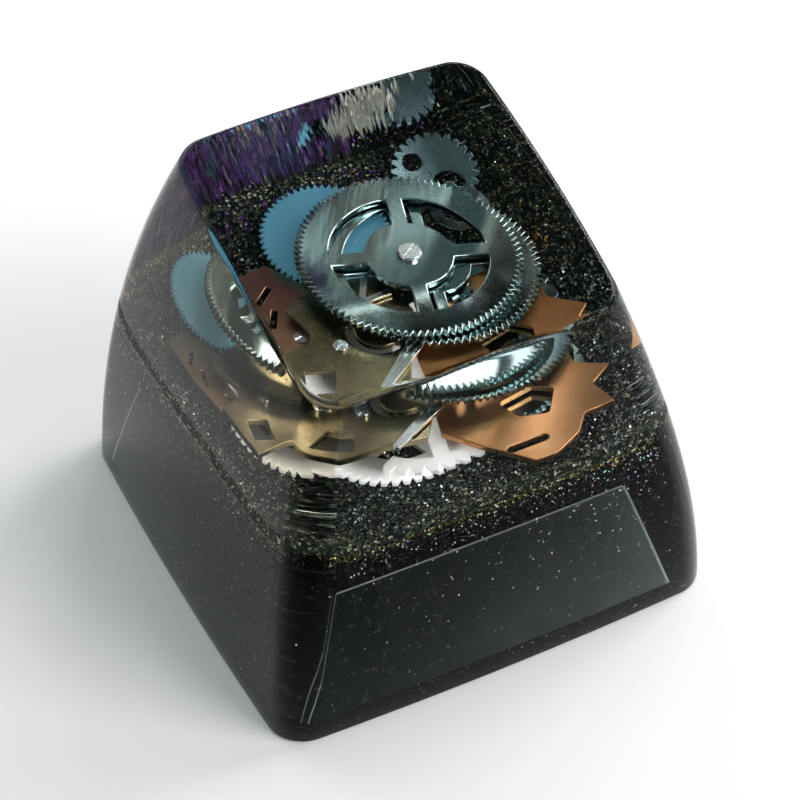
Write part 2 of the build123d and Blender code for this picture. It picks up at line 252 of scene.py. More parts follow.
@dataclass(frozen=True)
class CapForm:
    """Outer form of the cap: a square foot that rises to a smaller, tilted top face."""

    base_half: float = 9.05
    base_corner: float = 1.3
    top_half: float = 6.15
    top_length: float = 12.15
    top_corner: float = 1.1
    height: float = 14.55
    tilt: float = 15.5
    shift: float = -0.42
    side_bulge: float = 0.52
    end_bulge: float = 0.65
    bow: float = 0.22
    edge: float = 0.18
    foot_edge: float = 0.12

    @property
    def slant(self) -> float:
        """Tilt of the top face in radians."""
        return math.radians(self.tilt)

    @property
    def top_centre(self) -> np.ndarray:
        """Centre of the top face."""
        return np.array([0, self.shift, self.height])

    def half(self, rise: np.ndarray, top: float, bulge: float) -> np.ndarray:
        """Half a size at these shares of the height: a straight line plus a parabola."""
        return self.base_half * (1 - rise) + top * rise + bulge * (4 * rise * (1 - rise))

    def half_width(self, rise: np.ndarray) -> np.ndarray:
        """Half the width at these shares of the height."""
        return self.half(rise, self.top_half, self.side_bulge)

    def half_length(self, rise: np.ndarray) -> np.ndarray:
        """Half the length at these shares of the height, as seen from above."""
        return self.half(rise, self.top_length / 2 * math.cos(self.slant), self.end_bulge)

    def wall(self, rise: np.ndarray, at: Stations, inset: float | np.ndarray = 0.0) -> np.ndarray:
        """Points on the wall.

        The half width is a straight line from foot to top plus a parabola, 4 * bulge * s * (1 - s).
        The outline's plane tips with the top face, and its sides bow out by a parabola.

        Args:
            rise: Share s of the height, 0 at the foot and 1 at the top face.
            at: Columns around the outline.
            inset: How far the points lie inside the wall.

        Returns:
            Points in millimetres, with the shape of rise and 3 coordinates.
        """
        tip = np.arctan(math.tan(self.slant) * rise)
        half_x = self.half_width(rise) - inset - self.bow
        half_y = self.half_length(rise) / np.cos(tip) - inset - self.bow
        corner = self.base_corner * (1 - rise) + self.top_corner * rise - inset
        x = at.corner_x * (half_x - corner) + corner * at.normal_x
        v = at.corner_y * (half_y - corner) + corner * at.normal_y
        share_x = x / half_x
        share_v = v / half_y
        x = x + self.bow * share_x * (1 - share_v**2)
        v = v + self.bow * share_v * (1 - share_x**2)
        y = v * np.cos(tip) + self.shift * rise
        z = self.height * rise + v * np.sin(tip)
        return np.stack([x, y, z], axis=-1)

    def rings(
        self, low: np.ndarray | float, high: np.ndarray | float, shares: np.ndarray, at: Stations,
        inset: float = 0.0,
    ) -> list[np.ndarray]:
        """Rings on the wall, at these shares of the way from a low to a high share of the height."""
        return [self.wall(low + (high - low) * share, at, inset) for share in shares]

    def edge_rings(self, at: Stations, top: bool, radius: float, turns: np.ndarray) -> list[np.ndarray]:
        """Rings of the rounded edge around the top face or the foot, along a quarter circle.

        Args:
            at: Columns around the outline.
            top: Whether it is the top face's edge.
            radius: Radius of the quarter circle.
            turns: Angles along it, from 0 at the wall.

        Returns:
            One ring for each angle.
        """
        rings = []
        for turn in turns:
            drop = radius * (1 - math.sin(turn)) / self.height
            rise = np.full(at.count, 1 - drop if top else drop)
            rings.append(self.wall(rise, at, radius * (1 - math.cos(turn))))
        return rings


@dataclass(frozen=True)
class Tray:
    """Dished face between the two pours: a level floor and a margin that climbs to the wall."""

    floor: float = 6.8
    half: float = 6.04
    corner_cut: float = 1.0
    slope: float = 36.0
    ease: float = 0.22

    def height(self, x: np.ndarray, y: np.ndarray, drop: float = 0.0) -> np.ndarray:
        """Height of the dished face, lowered square to itself.

        It is the floor plus tan(slope) times a softened maximum of the distances past eight
        edges of the floor, and of zero.

        Args:
            x: Places across.
            y: Places along.
            drop: How far the face is lowered.

        Returns:
            Heights, with the shape of x.
        """
        slant = math.radians(self.slope)
        half = self.half + drop * math.tan(slant / 2)
        reach = (2 * self.half - self.corner_cut) / math.sqrt(2) + drop * math.tan(slant / 2)
        past = [np.abs(x) - half, np.abs(y) - half, (np.abs(x) + np.abs(y)) / math.sqrt(2) - reach]
        soft = self.ease * np.log(1 + sum(np.exp(np.minimum(p / self.ease, 60)) for p in past))
        return self.floor - drop + math.tan(slant) * soft

    def wall_rise(self, form: CapForm, at: Stations, drop: float = 0.0) -> np.ndarray:
        """Share of the cap's height at which the dished face meets the wall, found by halving.

        Args:
            form: Outer form of the cap.
            at: Columns around the outline.
            drop: How far the face is lowered.

        Returns:
            One share for each column.
        """
        low = np.zeros(at.count)
        high = np.ones(at.count)
        for _ in range(40):
            middle = (low + high) / 2
            point = form.wall(middle, at)
            above = point[:, 2] > self.height(point[:, 0], point[:, 1], drop)
            high = np.where(above, middle, high)
            low = np.where(above, low, middle)
        return (low + high) / 2

    def disc(self, border: np.ndarray, shares: np.ndarray, drop: float) -> list[np.ndarray]:
        """Rings over the dished face, scaled from a border towards the middle.

        Args:
            border: Ring where the face meets the wall.
            shares: Scale of each ring.
            drop: How far the face is lowered.

        Returns:
            One ring for each share.
        """
        rings = []
        for share in shares:
            ring = border * share
            ring[:, 2] = self.height(ring[:, 0], ring[:, 1], drop)
            rings.append(ring)
        return rings


# Finishes


def put(socket: Socket, value: object) -> None:
    """Links a socket to another one, or sets its own value.

    Args:
        socket: Socket to fill.
        value: Another socket, a number, a vector, or a colour without alpha.
    """
    if isinstance(value, Socket):
        socket.id_data.links.new(value, socket)
    else:
        socket.default_value = (*value, 1) if socket.type == "RGBA" else value


class Nodes:
    """Short way to make nodes in a tree."""

    def __init__(self, tree: bpy.types.NodeTree) -> None:
        """Takes a tree and empties it."""
        self.tree = tree
        tree.nodes.clear()

    def node(self, kind: str, inputs: dict[str | int, object], **settings: object) -> bpy.types.Node:
        """Makes a node.

        Args:
            kind: Class of the node, without ShaderNode.
            inputs: What fills its sockets, by name or number.
            settings: Properties of the node.

        Returns:
            The node.
        """
        node = self.tree.nodes.new(f"ShaderNode{kind}")
        for key, value in settings.items():
            setattr(node, key, value)
        for key, value in inputs.items():
            put(node.inputs[key], value)
        return node

    def noise(self, vector: Socket, scale: float, detail: float = 3.0) -> Socket:
        """Noise over a vector."""
        return self.node("TexNoise", {"Vector": vector, "Scale": scale, "Detail": detail}).outputs["Fac"]

    def span(self, value: Socket, low: float, high: float, start: float = 0.3, end: float = 0.7) -> Socket:
        """Maps a value from start..end to low..high."""
        ends = {"From Min": start, "From Max": end, "To Min": low, "To Max": high}
        return self.node("MapRange", {"Value": value, **ends}).outputs["Result"]

    def ramp(self, value: Socket, stops: list[tuple[float, Colour]]) -> Socket:
        """Colours along a value.

        Args:
            value: Place on the ramp.
            stops: Places and their colours.

        Returns:
            The colour.
        """
        node = self.node("ValToRGB", {"Fac": value})
        elements = node.color_ramp.elements
        while len(elements) < len(stops):
            elements.new(0.5)
        for element, (place, colour) in zip(elements, stops):
            element.position = place
            element.color = (*colour, 1)
        return node.outputs["Color"]

    def mix(self, factor: Socket, first: Colour | Socket, second: Colour | Socket) -> Socket:
        """Mixes two colours, by the numbers of the node's colour sockets."""
        return self.node("Mix", {0: factor, 6: first, 7: second}, data_type="RGBA").outputs[2]

    def scaled(self, colour: Socket, factor: Socket) -> Socket:
        """A colour made lighter or darker by a factor."""
        return self.node("VectorMath", {0: colour, "Scale": factor}, operation="SCALE").outputs["Vector"]

    def place(self, scale: Colour = (1.0, 1.0, 1.0)) -> Socket:
        """Object coordinates, scaled."""
        source = self.node("TexCoord", {}).outputs["Object"]
        return self.node("Mapping", {"Vector": source, "Scale": scale}).outputs["Vector"]

    def split(self, vector: Socket) -> bpy.types.bpy_prop_collection:
        """Sockets with a vector's X, Y and Z."""
        return self.node("SeparateXYZ", {"Vector": vector}).outputs

    def attribute(self, name: str) -> bpy.types.Node:
        """An attribute of the mesh."""
        return self.node("Attribute", {}, attribute_name=name)


class Surface(Nodes):
    """A new material with one shader."""

    def __init__(self, name: str) -> None:
        """Makes the material, its shader and its output.

        Args:
            name: Name of the material.
        """
        self.material = bpy.data.materials.new(name)
        self.material.use_nodes = True
        super().__init__(self.material.node_tree)
        self.shader = self.node("BsdfPrincipled", {})
        self.output = self.node("OutputMaterial", {"Surface": self.shader.outputs["BSDF"]})

    def set(self, **values: object) -> None:
        """Fills the shader's sockets, named with _ for a space."""
        for key, value in values.items():
            put(self.shader.inputs[key.replace("_", " ")], value)

    def bump(self, height: Socket, strength: float, distance: float) -> None:
        """Bumps the surface by a height."""
        inputs = {"Height": height, "Strength": strength, "Distance": distance}
        self.set(Normal=self.node("Bump", inputs).outputs["Normal"])

    def tip_normal(self, amount: Socket) -> None:
        """Tips the surface's normal upwards: the unit vector along up * amount + normal.

        Args:
            amount: How far it tips.
        """
        normal = self.node("NewGeometry", {}).outputs["Normal"]
        tipped = self.node("VectorMath", {0: (0, 0, 1), 1: amount, 2: normal}, operation="MULTIPLY_ADD")
        unit = self.node("VectorMath", {0: tipped.outputs["Vector"]}, operation="NORMALIZE")
        self.set(Normal=unit.outputs["Vector"])


class Grain(Enum):
    """How a metal face was worked, with the fineness of its marks."""

    CIRCLES = 26.0
    LINES = 22.0
    MATT = 30.0


@dataclass(frozen=True)
class MetalFinish:
    """Finish of a watch part: a worked face and a polished bevel.

    A painted light glow grows outwards from a distance from the part's middle.
    """

    slot: str
    face: Colour
    tone: Colour
    edge: Colour
    roughness: float
    grain: Grain
    metal: float = 1.0
    edge_metal: float = 0.3
    edge_roughness: float = 0.3
    painted_edge_glow: float = 0.0
    painted_glow: float = 0.0
    painted_glow_start: float = 1.8
    painted_glow_width: float = 0.7

    def face_material(self) -> bpy.types.Material:
        """Worked metal whose marks follow the part's own face.

        Returns:
            The material.
        """
        surface = Surface(f"{self.slot}_face")
        local = surface.attribute("face_place").outputs["Vector"]
        reach = surface.node("VectorMath", {0: local}, operation="LENGTH").outputs["Value"]
        places = surface.split(local)
        marks = {
            Grain.CIRCLES: {"X": reach},
            Grain.LINES: {"X": places["Y"]},
            Grain.MATT: {"X": places["X"], "Y": places["Y"]},
        }[self.grain]
        worked = surface.noise(surface.node("CombineXYZ", marks).outputs["Vector"], self.grain.value, 4.0)
        cloud = surface.noise(local, 0.55, 2.0)
        tint = surface.mix(surface.span(cloud, 0.0, 1.0), self.face, self.tone)
        surface.set(
            Base_Color=surface.scaled(tint, surface.span(worked, 0.92, 1.05)),
            Roughness=surface.span(worked, self.roughness * 0.8, self.roughness * 1.2),
            Metallic=self.metal,
        )
        # Painted light: the face glows in its own tint, from a distance from its middle outwards.
        if self.painted_glow:
            lit = surface.span(reach, 0.0, 1.0, self.painted_glow_start, self.painted_glow_start + self.painted_glow_width)
            surface.set(Emission_Color=surface.scaled(tint, lit), Emission_Strength=self.painted_glow)
        surface.bump(worked, 0.015, 0.00002)
        return surface.material

    def edge_material(self) -> bpy.types.Material:
        """Polished metal of the bevels, with fine wear; its pale colour with little metal, and its glow, are
        partly painted highlight.

        Returns:
            The material.
        """
        surface = Surface(f"{self.slot}_edge")
        wear = surface.noise(surface.place(), 3500.0)
        surface.set(
            Base_Color=surface.mix(surface.span(wear, 0.0, 0.35), self.edge, self.face),
            Roughness=surface.span(wear, self.edge_roughness * 0.7, self.edge_roughness * 1.4),
            Metallic=self.edge_metal,
            Emission_Color=self.edge,
            Emission_Strength=self.painted_edge_glow,
        )
        return surface.material


class Wall(Enum):
    """Stretches of the crown's skin, in slot order, with the names of their materials."""

    BRIGHT = "clear_resin"
    BACK = "clear_resin_back"
    LEFT = "clear_resin_left_painted_shade"

    @property
    def slot(self) -> int:
        """Slot of the stretch's material."""
        return list(Wall).index(self)


@dataclass(frozen=True)
class ClearResin:
    """Polished clear resin, with upright polishing marks on the back wall and a dull left wall, whose tint
    is painted shade.
    """

    ior: float = 1.5
    colour: Colour = (0.985, 0.995, 0.99)
    painted_shade_tint: Colour = (0.6, 0.52, 0.38)
    gloss: float = 0.1
    polish: float = 0.015
    dull: float = 0.05
    mark_width: float = 0.1
    mark_length: float = 5.0
    mark_tip: float = 0.012

    def material(self, wall: Wall) -> bpy.types.Material:
        """Clear glass-like cast with a faint unevenness of polish.

        Args:
            wall: Stretch of the skin.

        Returns:
            The material.
        """
        surface = Surface(wall.value)
        haze = surface.noise(surface.place(), 260.0)
        left = wall is Wall.LEFT
        # The left wall's base colour tints what shows through it darker and warmer: painted shade.
        surface.set(
            Base_Color=self.painted_shade_tint if left else self.colour,
            Roughness=surface.span(haze, 0.0, self.dull if left else self.polish),
            Transmission_Weight=1.0,
            IOR=self.ior,
            Specular_Tint=(self.gloss,) * 3,
        )
        if wall is Wall.BACK:
            upright = surface.place((1 / self.mark_width / MM, 0.0, 1 / self.mark_length / MM))
            marks = surface.noise(upright, 1.0, 2.0)
            surface.tip_normal(surface.span(marks, -self.mark_tip, self.mark_tip))
        return surface.material


@dataclass(frozen=True)
class SmokyResin:
    """Dark resin of the base, which swallows light over a few millimetres."""

    ior: float = 1.5
    colour: Colour = (0.88, 0.9, 0.88)
    passing: Colour = (0.4, 0.44, 0.42)
    density: float = 820.0
    gloss: float = 0.02
    polish: float = 0.012

    def material(self) -> bpy.types.Material:
        """Glass-like cast with an even absorption.

        Returns:
            The material.
        """
        surface = Surface("smoky_resin")
        surface.set(
            Base_Color=self.colour,
            Roughness=surface.span(surface.noise(surface.place(), 300.0), 0.0, self.polish),
            Transmission_Weight=1.0,
            IOR=self.ior,
            Specular_Tint=(self.gloss,) * 3,
        )
        surface.bump(surface.noise(surface.place(), 2600.0, 2.0), 0.02, 0.00003)
        swallow = surface.node("VolumeAbsorption", {"Color": self.passing, "Density": self.density})
        put(surface.output.inputs["Volume"], swallow.outputs["Volume"])
        return surface.material


@dataclass(frozen=True)
class HollowSkin:
    """Matt skin inside the hollow, painted with the light and shade that the hollow shows through the resin.
    """

    name: str
    left: Colour
    right: Colour
    painted_glow: float = 0.0
    roughness: float = 0.7
    speck: Colour = (0.5, 0.52, 0.5)

    def material(self) -> bpy.types.Material:
        """Matt skin with clouds and fine specks, whose colour shifts from left to right as painted light and
        shade, and which glows as painted light where a glow is set.

        Returns:
            The material.
        """
        surface = Surface(self.name)
        across = surface.span(surface.split(surface.place())["X"], 0.0, 1.0, -4.5 * MM, 6.0 * MM)
        cloud = surface.span(surface.noise(surface.place(), 260.0), 0.75, 1.05)
        tint = surface.scaled(surface.mix(across, self.left, self.right), cloud)
        specks = surface.span(surface.noise(surface.place(), 4200.0, 1.0), 0.0, 0.5, 0.62, 0.75)
        surface.set(
            Base_Color=surface.mix(specks, tint, self.speck),
            Roughness=self.roughness,
            Emission_Color=self.right,
            Emission_Strength=self.painted_glow,
        )
        return surface.material


@dataclass(frozen=True)
class BedGround:
    """Packed fine granules under the coarse ones."""

    scale: float = 12000.0
    stops: tuple[tuple[float, Colour], ...] = (
        (0.0, (0.004, 0.005, 0.005)),
        (0.5, (0.008, 0.012, 0.011)),
        (0.75, (0.03, 0.04, 0.03)),
        (0.92, (0.12, 0.12, 0.06)),
        (1.0, (0.45, 0.45, 0.4)),
    )

    def material(self) -> bpy.types.Material:
        """Dark cells with a few bright ones.

        Returns:
            The material.
        """
        surface = Surface("bed_ground")
        cells = surface.node("TexVoronoi", {"Vector": surface.place(), "Scale": self.scale})
        chance = surface.node("SeparateColor", {"Color": cells.outputs["Color"]}).outputs["Red"]
        surface.set(
            Base_Color=surface.ramp(chance, list(self.stops)),
            Metallic=0.8,
            Roughness=0.45,
            Specular_IOR_Level=0.2,
        )
        surface.bump(cells.outputs["Distance"], 0.5, 0.00005)
        return surface.material


@dataclass(frozen=True)
class GlitterFinish:
    """Metal-coated granules and flakes, each with its own tint, which glow as painted glints where a glow is
    set.
    """

    name: str
    roughness: float = 0.28
    metal: float = 1.0
    painted_glow: float = 0.0

    def material(self) -> bpy.types.Material:
        """Metal with the piece's own tint attribute, which also glows in that tint as painted glints where a
        glow is set.

        Returns:
            The material.
        """
        surface = Surface(self.name)
        tint = surface.attribute("tint").outputs["Color"]
        grit = surface.noise(surface.place(), 9000.0, 1.0)
        surface.set(
            Base_Color=tint,
            Roughness=surface.span(grit, self.roughness * 0.7, self.roughness * 1.3),
            Metallic=self.metal,
            Emission_Color=tint,
            Emission_Strength=self.painted_glow,
        )
        return surface.material


# Pieces


@dataclass
class ClearCrown:
    """Clear pour above the bed, with the rounded edge around the tilted top face."""

    form: CapForm
    tray: Tray
    finish: ClearResin = field(default_factory=ClearResin)
    wall_rings: int = 26
    disc_rings: int = 14
    disc_hub: float = 0.06
    edge_steps: int = 7
    sink: float = 0.03
    flat_step: float = 0.03
    left_facing: float = 0.3
    back_facing: float = 0.9

    def build(self, at: Stations) -> bpy.types.Object:
        """Builds and dresses the crown: dished underside, bulged wall, rounded edge, flat face.

        Args:
            at: Columns around the outline.

        Returns:
            The crown.
        """
        form = self.form
        start = self.tray.wall_rise(form, at, self.sink)
        shares = np.linspace(self.disc_hub, 1, self.disc_rings)[:-1]
        under = self.tray.disc(form.wall(start, at), shares, self.sink)
        end = 1 - form.edge / form.height
        wall = form.rings(start, end, np.linspace(0, 1, self.wall_rings)[:-1], at)
        edge = form.edge_rings(at, True, form.edge, np.linspace(0, QUARTER, self.edge_steps + 1))
        centre = form.top_centre
        inner = self.flat_step / form.top_half
        face = [centre + (edge[-1] - centre) * (1 - inner * step) for step in (1, 2)]
        rings = under + wall + edge + face
        pole = np.array([0, 0, self.tray.floor - self.sink])
        faces = ring_faces(len(rings), at.count)
        left = np.where(at.normal_x < -self.left_facing, Wall.LEFT.slot, Wall.BRIGHT.slot)
        around = np.where(at.normal_y > self.back_facing, Wall.BACK.slot, left)
        bands = len(wall) + 1
        first = at.count * (len(under) + 1)
        slots = np.full(len(faces), Wall.BRIGHT.slot)
        slots[first: first + at.count * bands] = np.tile(around, bands)
        finishes = [self.finish.material(stretch) for stretch in Wall]
        piece = make_piece("clear_crown_cast", skin_points(pole, rings, centre), faces, finishes, slots)
        seat(piece, "clear_resin", "clear_crown")
        return piece


class BaseSlot(IntEnum):
    """Finishes of the base, in slot order."""

    RESIN = 0
    FRONT = 1
    ROOF = 2
    EDGE = 3
    SIDE = 4


# Painted light and shade: the front skin goes from dark at the left to nearly white at the right.
HOLLOW_SKINS = {
    BaseSlot.FRONT: HollowSkin("hollow_front_painted_light", (0.05, 0.11, 0.1), (0.95, 1.0, 0.97)),
    # The roof skin is dark: painted shade.
    BaseSlot.ROOF: HollowSkin("hollow_roof_painted_shade", (0.045, 0.05, 0.05), (0.045, 0.05, 0.05)),
    # The edge skin is pale and glows: a painted highlight.
    BaseSlot.EDGE: HollowSkin("hollow_edges_painted_highlight", (0.9, 0.94, 0.93), (0.9, 0.94, 0.93), 0.55),
    # The side skins are dark: painted shade.
    BaseSlot.SIDE: HollowSkin("hollow_sides_painted_shade", (0.1, 0.11, 0.09), (0.08, 0.08, 0.08)),
}


@dataclass
class SmokyBase:
    """Smoky pour under the bed, with its hollow, stem and cross socket."""

    form: CapForm
    tray: Tray
    finish: SmokyResin = field(default_factory=SmokyResin)
    bed_thickness: float = 0.45
    sink: float = 0.03
    mouth_half: float = 7.4
    ceiling_half: float = 5.825
    ceiling: float = 4.65
    mouth_corner: float = 0.1
    ceiling_edge: float = 0.05
    stem_radius: float = 2.75
    stem_recess: float = 0.5
    socket_length: float = 4.1
    socket_slot: float = 1.3
    socket_depth: float = 4.0
    foot_steps: int = 4
    wall_rings: int = 16
    disc_rings: int = 12
    disc_hub: float = 0.06
    left_facing: float = 0.3
    front_facing: float = 0.9
    edge_facing: float = 0.98

    def level_square(self, at: Stations, half: float, height: float) -> np.ndarray:
        """Ring of a level square with tight corners.

        Args:
            at: Columns around the outline.
            half: Half the square's width.
            height: Height of the ring.

        Returns:
            The ring.
        """
        straight = half - self.mouth_corner
        x = at.corner_x * straight + self.mouth_corner * at.normal_x
        y = at.corner_y * straight + self.mouth_corner * at.normal_y
        return np.stack([x, y, np.full(at.count, height)], axis=-1)

    def radial(self, at: Stations, reach: np.ndarray | float, height: float) -> np.ndarray:
        """Ring at a reach from the stem's axis, in the direction of each column.

        Args:
            at: Columns around the outline.
            reach: Distance from the axis, one for all or one for each column.
            height: Height of the ring.

        Returns:
            The ring.
        """
        square = self.level_square(at, self.ceiling_half, height)
        away = np.arctan2(square[:, 1], square[:, 0])
        return np.stack([reach * np.cos(away), reach * np.sin(away), square[:, 2]], axis=-1)

    def cross_reach(self, at: Stations) -> np.ndarray:
        """Distance to the cross socket's wall in each column's direction: the longer of its two bars.

        Args:
            at: Columns around the outline.

        Returns:
            One distance for each column.
        """
        unit = np.maximum(np.abs(self.radial(at, 1.0, 0.0)), 1e-9)
        long = self.socket_length / 2
        short = self.socket_slot / 2
        across = np.minimum(long / unit[:, 0], short / unit[:, 1])
        along = np.minimum(short / unit[:, 0], long / unit[:, 1])
        return np.maximum(across, along)

    def build(self, at: Stations) -> bpy.types.Object:
        """Builds and dresses the base, from the socket's end outwards to the bed.

        Args:
            at: Columns around the outline.

        Returns:
            The base.
        """
        form = self.form
        drop = self.bed_thickness - self.sink
        cross = self.cross_reach(at)
        top = self.stem_recess + self.socket_depth
        inside = [
            self.radial(at, cross, top),
            self.radial(at, cross, self.stem_recess),
            self.radial(at, self.stem_radius, self.stem_recess),
            self.radial(at, self.stem_radius, self.ceiling),
            self.level_square(at, self.ceiling_half - self.ceiling_edge, self.ceiling),
            self.level_square(at, self.ceiling_half, self.ceiling - self.ceiling_edge),
            self.level_square(at, self.mouth_half, 0.0),
        ]
        foot = form.edge_rings(at, False, form.foot_edge, np.linspace(QUARTER, 0, self.foot_steps + 1))
        end = self.tray.wall_rise(form, at, drop)
        shares = np.linspace(0, 1, self.wall_rings)[1:]
        wall = form.rings(form.foot_edge / form.height, end, shares, at)
        over = self.tray.disc(wall[-1], np.linspace(1, self.disc_hub, self.disc_rings)[1:], drop)
        rings = inside + foot + wall + over
        points = skin_points(np.array([0, 0, top]), rings, np.array([0, 0, self.tray.floor - drop]))
        faces = ring_faces(len(rings), at.count)
        finishes = [self.finish.material()] + [skin.material() for skin in HOLLOW_SKINS.values()]
        slots = self.slots(at, len(faces), len(inside))
        piece = make_piece("smoky_base_cast", points, faces, finishes, slots)
        seat(piece, "smoky_resin", "smoky_base")
        return piece

    def slots(self, at: Stations, faces: int, bands: int) -> np.ndarray:
        """Slot of each face: resin outside, and a skin for the hollow's roof, walls, edges and rim.

        The edge skin, pale and glowing as a painted highlight, is on the upright edges and along the top of
        the front wall. At the front left it takes only the part that faces the front, so that the line stays
        thin there; the part that faces left gets the dark side skin, painted shade.

        Args:
            at: Columns around the outline.
            faces: Number of faces.
            bands: Number of bands of faces inside the hollow, from the socket's end to the mouth.

        Returns:
            One slot for each face.
        """
        step_x = np.roll(at.normal_x, -1) - at.normal_x
        step_y = np.roll(at.normal_y, -1) - at.normal_y
        shaded = (at.normal_x < -self.left_facing) & (at.normal_y < 0)
        upright = (np.hypot(step_x, step_y) > 1e-6) & ~shaded
        walls = np.where(at.normal_y < -self.front_facing, BaseSlot.FRONT, BaseSlot.SIDE)
        roof = np.full(at.count, BaseSlot.ROOF)
        lines = [roof] * (bands - 2)
        lines.append(np.where(at.normal_y < -self.edge_facing, BaseSlot.EDGE, BaseSlot.SIDE))
        lines.append(np.where(upright, BaseSlot.EDGE, walls))
        lines.append(roof)
        slots = np.full(faces, BaseSlot.RESIN)
        slots[: at.count * len(lines)] = np.concatenate(lines)
        return slots


@dataclass
class Scatter:
    """Crowd of small closed granules: one octahedron, pulled about and turned for each."""

    seed: int
    uneven: float = 0.35

    def frames(self, rng: np.random.Generator, count: int) -> np.ndarray:
        """Random rotations, from random unit quaternions.

        Args:
            rng: Source of random numbers.
            count: Number of rotations.

        Returns:
            One 3 by 3 matrix for each.
        """
        parts = rng.normal(size=(4, count))
        w, x, y, z = parts / np.linalg.norm(parts, axis=0)
        rows = [
            [1 - 2 * (y * y + z * z), 2 * (x * y - z * w), 2 * (x * z + y * w)],
            [2 * (x * y + z * w), 1 - 2 * (x * x + z * z), 2 * (y * z - x * w)],
            [2 * (x * z - y * w), 2 * (y * z + x * w), 1 - 2 * (x * x + y * y)],
        ]
        return np.moveaxis(np.array(rows), -1, 0)

    def build(
        self, name: str, centres: np.ndarray, sizes: np.ndarray, flat: float, tints: np.ndarray,
        finish: GlitterFinish,
    ) -> bpy.types.Object:
        """Builds one object with all granules.

        Args:
            name: Name of the object.
            centres: Place of each granule.
            sizes: Half size of each granule.
            flat: Thickness of a granule as a share of its width.
            tints: Colour of each granule.
            finish: Finish, which reads the tints.

        Returns:
            The crowd.
        """
        rng = np.random.default_rng(self.seed)
        count = len(centres)
        tips = np.array([[1, 0, 0], [-1, 0, 0], [0, 1, 0], [0, -1, 0], [0, 0, 1], [0, 0, -1]], float)
        upper = [[0, 2, 4], [2, 1, 4], [1, 3, 4], [3, 0, 4]]
        lower = [[2, 0, 5], [1, 2, 5], [3, 1, 5], [0, 3, 5]]
        sides = np.array(upper + lower)
        shape = tips[None] * (1 + self.uneven * rng.uniform(-1, 1, (count, len(tips), 1)))
        shape = shape * np.array([1, 1, flat]) * sizes[:, None, None]
        points = np.einsum("nij,nkj->nki", self.frames(rng, count), shape) + centres[:, None, :]
        faces = (sides[None] + len(tips) * np.arange(count)[:, None, None]).reshape(-1, 3)
        piece = make_piece(name, points.reshape(-1, 3), faces.tolist(), [finish.material()], crease=None)
        paint(piece, tints, len(tips))
        return piece


class Granule(IntEnum):
    """Colours of the bed's granules."""

    BLACK = 0
    DEEP_GREEN = 1
    GREEN = 2
    OLIVE = 3
    GOLD = 4
    SILVER = 5
    PURPLE = 6
    AMBER = 7


GRANULE_COLOURS = np.array([
    [0.006, 0.008, 0.008],
    [0.03, 0.055, 0.05],
    [0.1, 0.16, 0.145],
    [0.12, 0.12, 0.05],
    [0.34, 0.3, 0.12],
    [0.7, 0.74, 0.7],
    [0.2, 0.05, 0.34],
    [0.75, 0.4, 0.08],
])
GRANULE_SHARES = [0.46, 0.22, 0.13, 0.02, 0.02, 0.1, 0.0, 0.0]


